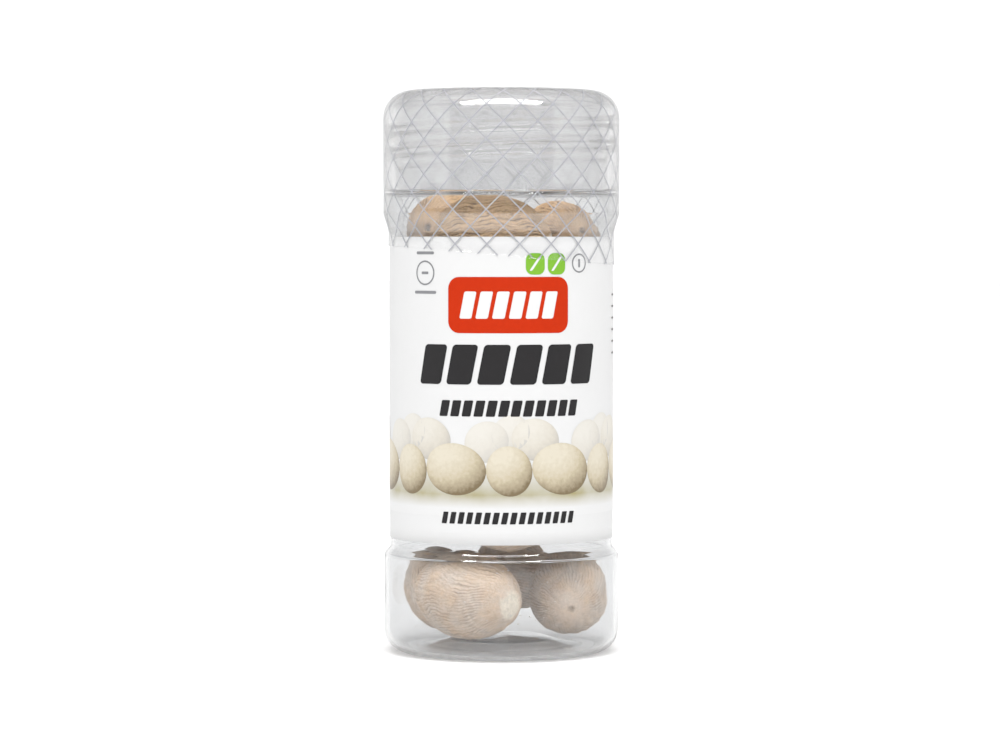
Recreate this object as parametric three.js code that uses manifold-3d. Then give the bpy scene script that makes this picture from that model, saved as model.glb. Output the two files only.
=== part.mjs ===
// A clear spice jar of whole nutmegs: a blow-moulded jar with a screw cap, a wrap-round label, a printed
// shrink band over the cap and shoulder, and sixteen nutmegs stacked inside.
// Millimetres, +Z up. The origin is the middle of the base, where the jar stands. The front faces -Y.
import * as THREE from "three";
import { mergeVertices } from "three/addons/utils/BufferGeometryUtils.js";
import Module from "manifold-3d";

const wasm = await Module();
wasm.setup();

// Jar
const BODY_RADIUS = 22.3;
const PANEL_RADIUS = 21.05;
const WALL = 0.8;
const HEEL_RADIUS = 4.2;
const FOOT_INNER_RADIUS = 15.6;
const PUNT = { radius: 13.6, height: 2.2, lift: 0.35 };
const FLOOR_THICKNESS = 1.6;
const LOWER_STEP = { low: 18.7, high: 20.3 };
const UPPER_STEP = { low: 80.1, high: 83.5 };
const SHOULDER = { low: 85.6, high: 87.2, run: 1.9 };
const NECK = { radius: 20.1, wall: 1.1, bottom: 87.9, top: 104.0, chamfer: 0.35 };

// Screw thread: one ridge on the neck and one in the cap, half a pitch apart
const THREAD = { pitch: 4.2, turns: 1.25, start: 93.0, depth: 0.7, root: 1.7, crest: 0.8, sunk: 0.45 };
const THREAD_TURN_OFFSET = 0.011;

// Cap
const CAP = {
  radius: 22.25,
  wall: 1.05,
  bottom: 87.5,
  top: 106.4,
  corner: 5.0,
  innerCorner: 3.0,
  plate: 1.3,
};

// Label
const LABEL = { inner: 21.15, outer: 21.3, bottom: 21.9, top: 78.9, gap: 8.0 };

// Shrink band. Its lower edge lies aslant: rise is its change in height for each millimetre towards +X.
const BAND = { gap: 0.1, thickness: 0.2, mouthRadius: 14.6, edge: 75.4, rise: -0.085 };

// Nutmegs, bottom first. round: where it lies, in degrees from the front towards +X. points and dips: which
// way the stem end faces, from the front towards +X and below the level.
const NUTMEGS = [
  { round: -30, points: 46, dips: 6, length: 22.8, width: 17.6 },
  { round: 92, points: 173, dips: -15, length: 19.0, width: 16.4 },
  { round: -122, points: 131, dips: 63, length: 17.2, width: 15.0 },
  { round: 169, points: 100, dips: 35, length: 17.0, width: 14.8 },
  { round: 3, points: -58, dips: -6, length: 21.7, width: 16.3 },
  { round: 137, points: 106, dips: 33, length: 22.2, width: 16.3 },
  { round: -88, points: 144, dips: 28, length: 19.8, width: 17.4 },
  { round: 76, points: -8, dips: 2, length: 20.9, width: 16.5 },
  { round: -23, points: 161, dips: -18, length: 20.9, width: 16.7 },
  { round: -175, points: -103, dips: 5, length: 20.5, width: 16.8 },
  { round: 68, points: 120, dips: 12, length: 20.8, width: 16.4 },
  { round: -83, points: -144, dips: 13, length: 21.1, width: 16.3 },
  { round: 170, points: 88, dips: 23, length: 20.2, width: 16.8 },
  { round: -8, points: 84, dips: 6, length: 22.8, width: 17.6 },
  { round: 110, points: -160, dips: 10, length: 21.4, width: 17.0 },
  { round: -126, points: 146, dips: 10, length: 20.6, width: 16.8 },
];
const NUTMEG_GAP = 0.3;
const NUTMEG_TAPER = 0.07;
const SCAR = { radius: 2.1, depth: 0.25 };
const GROOVE = { depth: 0.5, halfAngle: 0.35 };
const BOTTOM_LAYER = 4;
const LET_DOWN_STEP = 0.1;
const PROBES = 320;

// Mesh fineness
const ROUND_SEGMENTS = 36;
const ARC_SEGMENTS = 3;
const THREAD_SEGMENTS = 24;
const NUTMEG_SEGMENTS = { round: 14, along: 8 };

const MATERIALS = {
  jar: new THREE.MeshStandardMaterial({
    color: 0xe9eeef,
    roughness: 0.06,
    metalness: 0,
    transparent: true,
    opacity: 0.3,
  }),
  cap: new THREE.MeshStandardMaterial({
    color: 0xdfe2e4,
    roughness: 0.25,
    metalness: 0,
    transparent: true,
    opacity: 0.5,
  }),
  label: new THREE.MeshStandardMaterial({ color: 0xf4f4f4, roughness: 0.45, metalness: 0 }),
  band: new THREE.MeshStandardMaterial({
    color: 0xdadcdf,
    roughness: 0.12,
    metalness: 0,
    transparent: true,
    opacity: 0.3,
  }),
  nutmeg: new THREE.MeshStandardMaterial({ color: 0xa8927c, roughness: 0.85, metalness: 0 }),
};

const radians = THREE.MathUtils.degToRad;

/** Evenly spaced shares from 0 to 1, both included. */
function shares(segments) {
  return Array.from({ length: segments + 1 }, (_, i) => i / segments);
}

/** Points along an arc in the (radius, height) plane, ends included, angles in degrees from +radius. */
function arc(centreR, centreZ, radius, from, to) {
  return shares(ARC_SEGMENTS).map((share) => {
    const angle = radians(from + (to - from) * share);
    return [centreR + radius * Math.cos(angle), centreZ + radius * Math.sin(angle)];
  });
}

/** Points along an S-shaped step from one radius and height to another, ends included. */
function step(fromR, fromZ, toR, toZ) {
  return shares(ARC_SEGMENTS).map((share) => {
    const across = (1 - Math.cos(Math.PI * share)) / 2;
    return [fromR + (toR - fromR) * across, fromZ + (toZ - fromZ) * share];
  });
}

/** A solid of revolution about +Z from [radius, height] points, anticlockwise with +radius to the right. */
function turned(points) {
  const profile = points.map(([r, z]) => new THREE.Vector2(r, z));
  return new THREE.LatheGeometry(profile, ROUND_SEGMENTS).rotateX(Math.PI / 2);
}

/** A geometry as a manifold-3d solid. */
function solidOf(geometry) {
  const bare = geometry.clone();
  bare.deleteAttribute("normal");
  bare.deleteAttribute("uv");
  const merged = mergeVertices(bare, 1e-4);
  return new wasm.Manifold(
    new wasm.Mesh({
      numProp: 3,
      vertProperties: merged.attributes.position.array,
      triVerts: new Uint32Array(merged.index.array),
    }),
  );
}

/** A manifold-3d solid as a geometry. */
function geometryOf(solid) {
  const mesh = solid.getMesh();
  const geometry = new THREE.BufferGeometry()
    .setAttribute("position", new THREE.BufferAttribute(mesh.vertProperties, 3))
    .setIndex(new THREE.BufferAttribute(mesh.triVerts, 1));
  geometry.computeVertexNormals();
  return geometry;
}

/** One helical ridge on a wall of the given radius, standing out from it (side 1) or in (side -1). */
function threadRidge(wallRadius, side, start) {
  const { pitch, turns, depth, root, crest, sunk } = THREAD;
  const steps = Math.round(turns * THREAD_SEGMENTS);
  const section = [
    [-sunk, -root / 2],
    [depth, -crest / 2],
    [depth, crest / 2],
    [-sunk, root / 2],
  ];
  const positions = [];
  for (let i = 0; i <= steps; i++) {
    const turn = i / THREAD_SEGMENTS;
    const angle = 2 * Math.PI * (turn + THREAD_TURN_OFFSET);
    for (const [out, up] of section) {
      const r = wallRadius + side * out;
      positions.push(r * Math.cos(angle), r * Math.sin(angle), start + pitch * turn + up);
    }
  }
  const faces = [];
  const quad = (a, b, c, d) => faces.push(a, b, c, a, c, d);
  for (let i = 0; i < steps; i++) {
    for (let j = 0; j < 4; j++) {
      const next = (j + 1) % 4;
      quad(4 * i + j, 4 * i + 4 + j, 4 * i + 4 + next, 4 * i + next);
    }
  }
  quad(0, 1, 2, 3);
  quad(4 * steps + 3, 4 * steps + 2, 4 * steps + 1, 4 * steps);
  if (side < 0) faces.reverse();
  return new THREE.BufferGeometry()
    .setAttribute("position", new THREE.BufferAttribute(new Float32Array(positions), 3))
    .setIndex(faces);
}

/** The jar's wall from the base bulge over the panel to the shoulder's crown, set in from the outside. */
function wallOutline(inset) {
  const { low, high, run } = SHOULDER;
  return [
    ...step(BODY_RADIUS - inset, LOWER_STEP.low, PANEL_RADIUS - inset, LOWER_STEP.high),
    ...step(PANEL_RADIUS - inset, UPPER_STEP.low, BODY_RADIUS - inset, UPPER_STEP.high),
    ...shares(ARC_SEGMENTS).map((share) => {
      const angle = (Math.PI / 2) * share;
      const narrowing = run * (1 - Math.cos(angle));
      return [BODY_RADIUS - inset - narrowing, low + (high - low - inset) * Math.sin(angle)];
    }),
  ];
}

/** The domed push-up in the middle of the base, from the axis outwards. */
function puntOutline(height) {
  return shares(ARC_SEGMENTS).map((share) => {
    const rise = PUNT.height * Math.cos((Math.PI / 2) * share) ** 2;
    return [PUNT.radius * share, height + rise];
  });
}

/** The jar: foot ring, heel, base bulge, label panel, shoulder, threaded neck and open mouth. */
function jarGeometry() {
  const innerHeel = HEEL_RADIUS - WALL;
  const mouthRadius = NECK.radius - NECK.wall;
  const outside = [
    ...puntOutline(PUNT.lift),
    [FOOT_INNER_RADIUS, 0],
    ...arc(BODY_RADIUS - HEEL_RADIUS, HEEL_RADIUS, HEEL_RADIUS, -90, 0),
    ...wallOutline(0),
    [NECK.radius, NECK.bottom],
    [NECK.radius, NECK.top - NECK.chamfer],
    [NECK.radius - NECK.chamfer, NECK.top],
  ];
  const inside = [
    ...puntOutline(FLOOR_THICKNESS),
    ...arc(BODY_RADIUS - HEEL_RADIUS, FLOOR_THICKNESS + innerHeel, innerHeel, -90, 0),
    ...wallOutline(WALL),
    [mouthRadius, NECK.bottom],
    [mouthRadius, NECK.top],
  ];
  const shell = solidOf(turned([...outside, ...inside.reverse()]));
  const ridge = solidOf(threadRidge(NECK.radius, 1, THREAD.start));
  return geometryOf(shell.add(ridge));
}

/** The screw cap: a plain skirt with a rounded top edge and one ridge of thread inside. */
function capGeometry() {
  const { radius, wall, bottom, top, corner, innerCorner, plate } = CAP;
  const innerRadius = radius - wall;
  const ceiling = top - plate;
  const shell = turned([
    [innerRadius, bottom],
    [radius, bottom],
    ...arc(radius - corner, top - corner, corner, 0, 90),
    [0, top],
    [0, ceiling],
    ...arc(innerRadius - innerCorner, ceiling - innerCorner, innerCorner, 90, 0),
    [innerRadius, bottom],
  ]);
  const ridge = threadRidge(innerRadius, -1, THREAD.start + THREAD.pitch / 2);
  return geometryOf(solidOf(shell).add(solidOf(ridge)));
}

/** The label: a thin sheet round the panel, with a gap between its ends at the back. */
function labelGeometry() {
  const { inner, outer, bottom, top, gap } = LABEL;
  const halfGap = gap / 2 / outer;
  const from = Math.PI / 2 + halfGap;
  const to = Math.PI / 2 + 2 * Math.PI - halfGap;
  const outline = new THREE.Shape();
  outline.absarc(0, 0, outer, from, to, false);
  outline.absarc(0, 0, inner, to, from, true);
  outline.closePath();
  return new THREE.ExtrudeGeometry(outline, {
    depth: top - bottom,
    bevelEnabled: false,
    curveSegments: ROUND_SEGMENTS / 2,
  }).translate(0, 0, bottom);
}

/** The shrink band, over the cap's edge and side, the shoulder and the top of the label. It ends aslant. */
function bandGeometry() {
  const { gap, thickness, mouthRadius, edge, rise } = BAND;
  const face = (offset) => [
    [LABEL.outer + offset, edge],
    ...step(LABEL.outer + offset, UPPER_STEP.low, BODY_RADIUS + offset, UPPER_STEP.high),
    ...arc(CAP.radius - CAP.corner, CAP.top - CAP.corner, CAP.corner + offset, 0, 90),
    [mouthRadius, CAP.top + offset],
  ];
  const outer = face(gap + thickness);
  const geometry = turned([...outer, ...face(gap).reverse(), outer[0]]);
  const position = geometry.attributes.position;
  for (let i = 0; i < position.count; i++) {
    const isOnEdge = Math.abs(position.getZ(i) - edge) < 1e-3;
    if (isOnEdge) position.setZ(i, edge + rise * position.getX(i));
  }
  return geometry;
}

/** One nutmeg about its own +Z: a tapered egg with a flat scar on its stem end, up, and a groove. */
function nutmegGeometry({ length, width }) {
  const halfLength = length / 2;
  const profile = shares(NUTMEG_SEGMENTS.along)
    .slice(1, -1)
    .map((share) => {
      const angle = Math.PI * share;
      const taper = 1 - (NUTMEG_TAPER * (1 - Math.cos(angle))) / 2;
      return new THREE.Vector2((width / 2) * Math.sin(angle) * taper, -halfLength * Math.cos(angle));
    });
  const geometry = new THREE.LatheGeometry(
    [
      new THREE.Vector2(0, -halfLength),
      ...profile,
      new THREE.Vector2(SCAR.radius, halfLength - SCAR.depth),
      new THREE.Vector2(0, halfLength - SCAR.depth),
    ],
    NUTMEG_SEGMENTS.round,
  ).rotateX(Math.PI / 2);
  const position = geometry.attributes.position;
  for (let i = 0; i < position.count; i++) {
    const [x, y, z] = [position.getX(i), position.getY(i), position.getZ(i)];
    const off = Math.atan2(y, x) / GROOVE.halfAngle;
    const dip = GROOVE.depth * Math.exp(-off * off) * (1 - (z / halfLength) ** 2);
    const scale = 1 - dip / Math.max(Math.hypot(x, y), SCAR.radius);
    position.setXY(i, x * scale, y * scale);
  }
  return geometry;
}

/** The unit vector that a nutmeg's stem end faces. */
function facing({ points, dips }) {
  const level = Math.cos(radians(dips));
  return towards(points).multiplyScalar(level).setZ(-Math.sin(radians(dips)));
}

/** The level unit vector at an angle in degrees from the front towards +X. */
function towards(angle) {
  return new THREE.Vector3(Math.sin(radians(angle)), -Math.cos(radians(angle)), 0);
}

/** How far a nutmeg reaches from its centre in a direction, as an ellipsoid. */
function reach(nutmeg, direction) {
  const along = facing(nutmeg).dot(direction) ** 2;
  return Math.sqrt((nutmeg.length / 2) ** 2 * along + (nutmeg.width / 2) ** 2 * (1 - along));
}

/** Directions spread evenly over a sphere. */
const PROBE_DIRECTIONS = Array.from({ length: PROBES }, (_, i) => {
  const z = 1 - (2 * i + 1) / PROBES;
  const goldenAngle = Math.PI * (3 - Math.sqrt(5));
  return new THREE.Vector3().setFromCylindricalCoords(Math.sqrt(1 - z * z), i * goldenAngle, z);
});

/** Whether some direction keeps two placed nutmegs apart. */
function areApart(a, b) {
  const between = a.centre.clone().sub(b.centre);
  if (between.length() > (a.nutmeg.length + b.nutmeg.length) / 2 + NUTMEG_GAP) return true;
  return [between.clone().normalize(), ...PROBE_DIRECTIONS].some(
    (n) => between.dot(n) >= reach(a.nutmeg, n) + reach(b.nutmeg, n) + NUTMEG_GAP,
  );
}

/** How far off the axis a nutmeg's centre is when it lies against a wall of the given radius. */
function offAxis(nutmeg, wallRadius) {
  const limits = [];
  for (let turn = -80; turn <= 80; turn += 4) {
    const side = towards(nutmeg.round + turn);
    limits.push((wallRadius - reach(nutmeg, side)) / Math.cos(radians(turn)));
  }
  return Math.min(...limits);
}

/** A nutmeg let down along the wall until it meets the floor or a lower one. */
function letDown(nutmeg, lower) {
  const outerRadius = lower.length < BOTTOM_LAYER ? BODY_RADIUS : PANEL_RADIUS;
  const aside = offAxis(nutmeg, outerRadius - WALL - NUTMEG_GAP);
  const centre = towards(nutmeg.round).multiplyScalar(aside).setZ(NECK.top);
  const placed = { nutmeg, centre };
  const floor = FLOOR_THICKNESS + PUNT.height / 2 + reach(nutmeg, new THREE.Vector3(0, 0, 1));
  while (centre.z > floor && lower.every((other) => areApart(placed, other))) centre.z -= LET_DOWN_STEP;
  centre.z += LET_DOWN_STEP;
  return placed;
}

/** The nutmegs with their centres, each let down onto the ones before it. */
function stacked(nutmegs) {
  return nutmegs.reduce((placed, nutmeg) => [...placed, letDown(nutmeg, placed)], []);
}

/** A named mesh. */
function piece(name, geometry, material) {
  const mesh = new THREE.Mesh(geometry, material);
  mesh.name = name;
  return mesh;
}

const jarOfNutmegs = new THREE.Group();
jarOfNutmegs.add(
  piece("jar", jarGeometry(), MATERIALS.jar),
  piece("cap", capGeometry(), MATERIALS.cap),
  piece("label", labelGeometry(), MATERIALS.label),
  piece("shrink_band", bandGeometry(), MATERIALS.band),
);
stacked(NUTMEGS).forEach(({ nutmeg, centre }, i) => {
  const number = String(i + 1).padStart(2, "0");
  const mesh = piece(`nutmeg_${number}`, nutmegGeometry(nutmeg), MATERIALS.nutmeg);
  mesh.position.copy(centre);
  mesh.quaternion.setFromUnitVectors(new THREE.Vector3(0, 0, 1), facing(nutmeg));
  jarOfNutmegs.add(mesh);
});

export default jarOfNutmegs;
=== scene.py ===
"""A clear spice jar of whole nutmegs.

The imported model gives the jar's sizes and every nutmeg's place. The pieces are modelled in millimetres, and
publish() turns them into metres.
"""

import logging
import math
import random
from dataclasses import dataclass, field
from enum import Enum
from typing import Iterable, Sequence

import bmesh
import bpy
import numpy as np
from mathutils import Matrix, Vector, noise


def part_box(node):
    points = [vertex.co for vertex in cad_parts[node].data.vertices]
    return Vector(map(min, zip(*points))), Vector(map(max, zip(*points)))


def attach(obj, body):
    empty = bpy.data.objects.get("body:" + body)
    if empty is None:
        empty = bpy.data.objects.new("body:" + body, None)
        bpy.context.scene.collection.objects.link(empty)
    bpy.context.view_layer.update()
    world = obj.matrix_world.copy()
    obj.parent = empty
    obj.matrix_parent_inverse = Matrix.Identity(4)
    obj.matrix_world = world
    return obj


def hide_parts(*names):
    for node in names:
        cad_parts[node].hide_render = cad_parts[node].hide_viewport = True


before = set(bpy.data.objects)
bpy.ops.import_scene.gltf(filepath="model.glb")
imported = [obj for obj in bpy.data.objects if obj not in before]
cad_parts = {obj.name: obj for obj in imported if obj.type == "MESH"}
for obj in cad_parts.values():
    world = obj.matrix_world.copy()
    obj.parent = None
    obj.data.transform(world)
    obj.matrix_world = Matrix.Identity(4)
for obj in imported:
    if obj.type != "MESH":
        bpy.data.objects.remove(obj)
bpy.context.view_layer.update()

log = logging.getLogger("jar")
MM = 0.001
BODY = "root"
Z_AXIS = Vector((0.0, 0.0, 1.0))
CUT_REACH = 1e-5
PRINT_ROUGHNESS = 0.42
Colour = tuple[float, float, float]


class Slot(Enum):
    """The record's material slots."""

    CLEAR_PLASTIC = "clear_plastic"
    CAP_PLASTIC = "cap_plastic"
    LABEL_PAPER = "label_paper"
    BAND_FILM = "band_film"
    NUTMEG_SHELL = "nutmeg_shell"


# --------------------------------------------------------------------------------------------------
# Small tools
# --------------------------------------------------------------------------------------------------


def srgb(red: int, green: int, blue: int) -> Colour:
    """Turns a display colour into a linear one.

    Args:
        red: Red, from 0 to 255.
        green: Green, from 0 to 255.
        blue: Blue, from 0 to 255.

    Returns:
        The linear colour.
    """

    def linear(level: int) -> float:
        """One channel made linear."""
        share = level / 255
        return share / 12.92 if share <= 0.04045 else ((share + 0.055) / 1.055) ** 2.4

    return (linear(red), linear(green), linear(blue))


def smooth(low: float, high: float, value: float) -> float:
    """Rises smoothly from 0 at low to 1 at high.

    Args:
        low: Where the rise starts.
        high: Where it ends.
        value: The value to look up.

    Returns:
        A share from 0 to 1.
    """
    share = min(max((value - low) / (high - low), 0.0), 1.0)
    return share * share * (3 - 2 * share)


def node_top(node: str) -> float:
    """A node's highest point, in millimetres."""
    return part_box(node)[1].z / MM


def node_radius(node: str) -> float:
    """A round node's outer radius, in millimetres."""
    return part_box(node)[1].x / MM


def publish(
    name: str,
    bm: bmesh.types.BMesh,
    materials: Sequence[bpy.types.Material],
    nodes: Sequence[str] = (),
) -> bpy.types.Object:
    """Turns a finished bmesh in millimetres into a smooth-shaded piece of the object.

    Args:
        name: The piece's name.
        bm: The shape, which is freed.
        materials: The materials that its faces' indices name.
        nodes: The CAD nodes that it stands for.

    Returns:
        The piece.
    """
    bmesh.ops.scale(bm, vec=(MM, MM, MM), verts=bm.verts)
    for face in bm.faces:
        face.smooth = True
    mesh = bpy.data.meshes.new(name)
    bm.to_mesh(mesh)
    bm.free()
    for material in materials:
        mesh.materials.append(material)
    piece = bpy.data.objects.new(name, mesh)
    bpy.context.scene.collection.objects.link(piece)
    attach(piece, BODY)
    if nodes:
        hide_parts(*nodes)
    log.info("%s: %d faces", name, len(mesh.polygons))
    return piece


# --------------------------------------------------------------------------------------------------
# Turned shapes
# --------------------------------------------------------------------------------------------------


@dataclass(frozen=True)
class Corner:
    """A corner of a turned profile, in millimetres, and the radius that rounds it."""

    r: float
    z: float
    fillet: float = 0.0


def round_corners(
    bm: bmesh.types.BMesh, corners: Sequence[bmesh.types.BMVert], offset: float, segments: int
) -> None:
    """Rounds the corners of a flat outline.

    Args:
        bm: The mesh.
        corners: The vertices to round.
        offset: How far from a corner its rounding starts.
        segments: How many segments round each corner.
    """
    bmesh.ops.bevel(
        bm,
        geom=corners,
        offset=offset,
        offset_type="OFFSET",
        segments=segments,
        profile=0.5,
        affect="VERTICES",
        clamp_overlap=True,
        material=-1,
    )


def profile_wire(corners: Sequence[Corner], fillet_segments: int) -> bmesh.types.BMesh:
    """Draws a profile in the XZ plane and rounds its corners.

    Args:
        corners: The profile's corners, in order.
        fillet_segments: How many segments round each corner.

    Returns:
        A bmesh that holds the profile as a chain of edges.
    """
    bm = bmesh.new()
    places = [Vector((corner.r, 0.0, corner.z)) for corner in corners]
    verts = [bm.verts.new(place) for place in places]
    for pair in zip(verts, verts[1:]):
        bm.edges.new(pair)
    for corner, before, here, after in zip(corners[1:], places, places[1:], places[2:]):
        if corner.fillet:
            turn = (here - before).angle(after - here)
            nearest = min(bm.verts, key=lambda vert: (vert.co - here).length)
            round_corners(bm, [nearest], corner.fillet * math.tan(turn / 2), fillet_segments)
    return bm


def cut_long(bm: bmesh.types.BMesh, longest: float, low: float = -math.inf, high: float = math.inf) -> None:
    """Cuts up long edges.

    Args:
        bm: The mesh.
        longest: The length above which an edge is cut.
        low: The height above which an edge's middle has to lie.
        high: The height below which it has to lie.
    """
    for edge in bm.edges[:]:
        middle = (edge.verts[0].co.z + edge.verts[1].co.z) / 2
        cuts = math.ceil(edge.calc_length() / longest) - 1
        if cuts and low < middle < high:
            bmesh.ops.subdivide_edges(bm, edges=[edge], cuts=cuts)


def cut_along(
    bm: bmesh.types.BMesh, place: Sequence[float], normal: Sequence[float],
    clear_outer: bool = False, clear_inner: bool = False,
) -> None:
    """Cuts a whole mesh along a plane.

    Args:
        bm: The mesh.
        place: A point on the plane.
        normal: The plane's normal.
        clear_outer: Whether to drop what lies on the normal's side.
        clear_inner: Whether to drop what lies on the other side.
    """
    bmesh.ops.bisect_plane(
        bm,
        geom=bm.verts[:] + bm.edges[:] + bm.faces[:],
        dist=CUT_REACH,
        plane_co=place,
        plane_no=normal,
        clear_outer=clear_outer,
        clear_inner=clear_inner,
    )


def turned(bm: bmesh.types.BMesh, steps: int) -> None:
    """Spins a profile round the jar's axis into a closed shell whose faces point out.

    Args:
        bm: The profile, which becomes the shell.
        steps: How many steps the full turn takes.
    """
    bmesh.ops.spin(
        bm,
        geom=bm.verts[:] + bm.edges[:],
        cent=(0.0, 0.0, 0.0),
        axis=Z_AXIS,
        dvec=(0.0, 0.0, 0.0),
        angle=2 * math.pi,
        space=Matrix.Identity(4),
        steps=steps,
        use_merge=True,
        use_normal_flip=False,
        use_duplicate=False,
    )
    bmesh.ops.remove_doubles(bm, verts=bm.verts, dist=1e-4)
    bmesh.ops.recalc_face_normals(bm, faces=bm.faces)


@dataclass(frozen=True)
class ScrewThread:
    """A helical ridge that stands out from a turned wall.

    Attributes:
        wall: The wall's radius.
        side: 1 if the ridge stands outwards, -1 if inwards.
        start: The ridge's height where it begins.
        begins: Where it begins, in turns from the front towards +X.
        turns: How many turns it makes.
        pitch: How far it climbs in a turn.
        depth: How far it stands out.
        root: Its width at the wall.
    """

    wall: float
    side: int
    start: float
    turns: float
    begins: float = -0.31
    pitch: float = 4.2
    depth: float = 0.5
    root: float = 2.8

    def height_at(self, place: Vector) -> float:
        """How far the ridge stands out at a place on the wall."""
        turn = (math.atan2(place.x, -place.y) / (2 * math.pi) - self.begins) % 1.0
        tallest = 0.0
        for lap in range(math.ceil(self.turns) + 1):
            along = turn + lap
            run_in = smooth(0.0, 0.06, along) * smooth(self.turns, self.turns - 0.06, along)
            off = abs(place.z - self.start - self.pitch * along)
            tallest = max(tallest, run_in * smooth(self.root / 2, 0.0, off))
        return self.depth * tallest

    def raise_on(self, bm: bmesh.types.BMesh) -> None:
        """Moves the wall's vertices out to form the ridge, and marks them in the ridge attribute, which the
        plastic reads to paint the ridge lighter as painted light.
        """
        ridge = bm.verts.layers.float.new("ridge")
        low = self.start - self.root / 2
        high = self.start + self.pitch * self.turns + self.root / 2
        for vert in bm.verts:
            radius = vert.co.xy.length
            if abs(radius - self.wall) < 0.02 and low < vert.co.z < high:
                height = self.height_at(vert.co)
                vert[ridge] = height / self.depth
                share = 1 + self.side * height / radius
                vert.co.x *= share
                vert.co.y *= share


# --------------------------------------------------------------------------------------------------
# Finishes
# --------------------------------------------------------------------------------------------------


class Tree:
    """Adds nodes and links to a material's, group's or world's node tree."""

    def __init__(self, tree: bpy.types.NodeTree) -> None:
        """Takes the tree to build in."""
        self.tree = tree

    def add(self, kind: str, sockets: dict | None = None, **settings: object) -> bpy.types.Node:
        """Adds a node.

        Args:
            kind: The node's type.
            sockets: Values or source sockets for its inputs, by name or place.
            settings: Values for its own properties.

        Returns:
            The node.
        """
        node = self.tree.nodes.new(kind)
        for key, value in settings.items():
            setattr(node, key, value)
        for key, value in (sockets or {}).items():
            if isinstance(value, bpy.types.NodeSocket):
                self.tree.links.new(value, node.inputs[key])
            elif isinstance(value, tuple) and len(value) == 3 and node.inputs[key].type == "RGBA":
                node.inputs[key].default_value = (*value, 1.0)
            else:
                node.inputs[key].default_value = value
        return node

    def math(self, operation: str, first: object, second: object = 0.0) -> bpy.types.NodeSocket:
        """Adds a math node and returns its result."""
        return self.add("ShaderNodeMath", {0: first, 1: second}, operation=operation).outputs[0]

    def blend(self, share: object, first: object, second: object, mode: str = "MIX") -> bpy.types.NodeSocket:
        """Mixes two colours and returns the result."""
        node = self.add("ShaderNodeMix", data_type="RGBA", blend_type=mode)
        for index, value in ((0, share), (6, first), (7, second)):
            if isinstance(value, bpy.types.NodeSocket):
                self.tree.links.new(value, node.inputs[index])
            else:
                node.inputs[index].default_value = (*value, 1.0) if isinstance(value, tuple) else value
        return node.outputs[2]

    def span(
        self, value: object, low: float, high: float, to_low: float, to_high: float
    ) -> bpy.types.NodeSocket:
        """Maps a value from one range to another, held within its ends, and returns the result."""
        sockets = {"Value": value, 1: low, 2: high, 3: to_low, 4: to_high}
        return self.add("ShaderNodeMapRange", sockets).outputs[0]

    def group(self, tree: bpy.types.NodeTree, sockets: dict) -> bpy.types.Node:
        """Places a shared group with its own values."""
        node = self.tree.nodes.new("ShaderNodeGroup")
        node.node_tree = tree
        for key, value in sockets.items():
            if isinstance(value, bpy.types.NodeSocket):
                self.tree.links.new(value, node.inputs[key])
            else:
                node.inputs[key].default_value = value
        return node


def new_group(
    name: str, inputs: dict[str, tuple[str, object]], outputs: dict[str, str]
) -> bpy.types.NodeTree:
    """Starts a shader node group with named sockets.

    Args:
        name: The group's name.
        inputs: Each input's socket type and starting value.
        outputs: Each output's socket type.

    Returns:
        The group's tree, with its input and output nodes in place.
    """
    tree = bpy.data.node_groups.new(name, "ShaderNodeTree")
    for key, (kind, value) in inputs.items():
        socket = tree.interface.new_socket(key, in_out="INPUT", socket_type=kind)
        if value is not None:
            socket.default_value = value
    for key, kind in outputs.items():
        tree.interface.new_socket(key, in_out="OUTPUT", socket_type=kind)
    tree.nodes.new("NodeGroupInput")
    tree.nodes.new("NodeGroupOutput")
    return tree


class Effects:
    """The effects that several finishes share, each built once as a node group."""

    def __init__(self) -> None:
        """Builds the groups."""
        self.mottle = self._mottle()
        self.relief = self._relief()

    @staticmethod
    def _mottle() -> bpy.types.NodeTree:
        """A soft cloudy value between Low and High."""
        tree = new_group(
            "mottle",
            {
                "Vector": ("NodeSocketVector", None),
                "Scale": ("NodeSocketFloat", 100.0),
                "Detail": ("NodeSocketFloat", 3.0),
                "Low": ("NodeSocketFloat", 0.0),
                "High": ("NodeSocketFloat", 1.0),
            },
            {"Value": "NodeSocketFloat"},
        )
        build = Tree(tree)
        source, sink = tree.nodes
        sockets = {key: source.outputs[key] for key in ("Vector", "Scale", "Detail")}
        cloud = build.add("ShaderNodeTexNoise", sockets)
        low, high = (source.outputs[key] for key in ("Low", "High"))
        ranged = build.add("ShaderNodeMapRange", {"Value": cloud.outputs[0], 1: 0.3, 2: 0.7, 3: low, 4: high})
        tree.links.new(ranged.outputs[0], sink.inputs["Value"])
        return tree

    @staticmethod
    def _relief() -> bpy.types.NodeTree:
        """A normal that is roughened by fine grain over a broad waviness."""
        tree = new_group(
            "relief",
            {
                "Vector": ("NodeSocketVector", None),
                "Grain Scale": ("NodeSocketFloat", 1000.0),
                "Grain Depth": ("NodeSocketFloat", 0.00001),
                "Wave Scale": ("NodeSocketFloat", 60.0),
                "Wave Depth": ("NodeSocketFloat", 0.0001),
            },
            {"Normal": "NodeSocketVector"},
        )
        build = Tree(tree)
        source, sink = tree.nodes
        given = source.outputs
        wave = build.add("ShaderNodeTexNoise", {"Vector": given["Vector"], "Scale": given["Wave Scale"]})
        grain = build.add(
            "ShaderNodeTexNoise", {"Vector": given["Vector"], "Scale": given["Grain Scale"], "Detail": 4.0}
        )
        broad = build.add("ShaderNodeBump", {"Height": wave.outputs[0], "Distance": given["Wave Depth"]})
        fine = build.add(
            "ShaderNodeBump",
            {"Height": grain.outputs[0], "Distance": given["Grain Depth"], "Normal": broad.outputs[0]},
        )
        tree.links.new(fine.outputs[0], sink.inputs["Normal"])
        return tree


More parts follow.
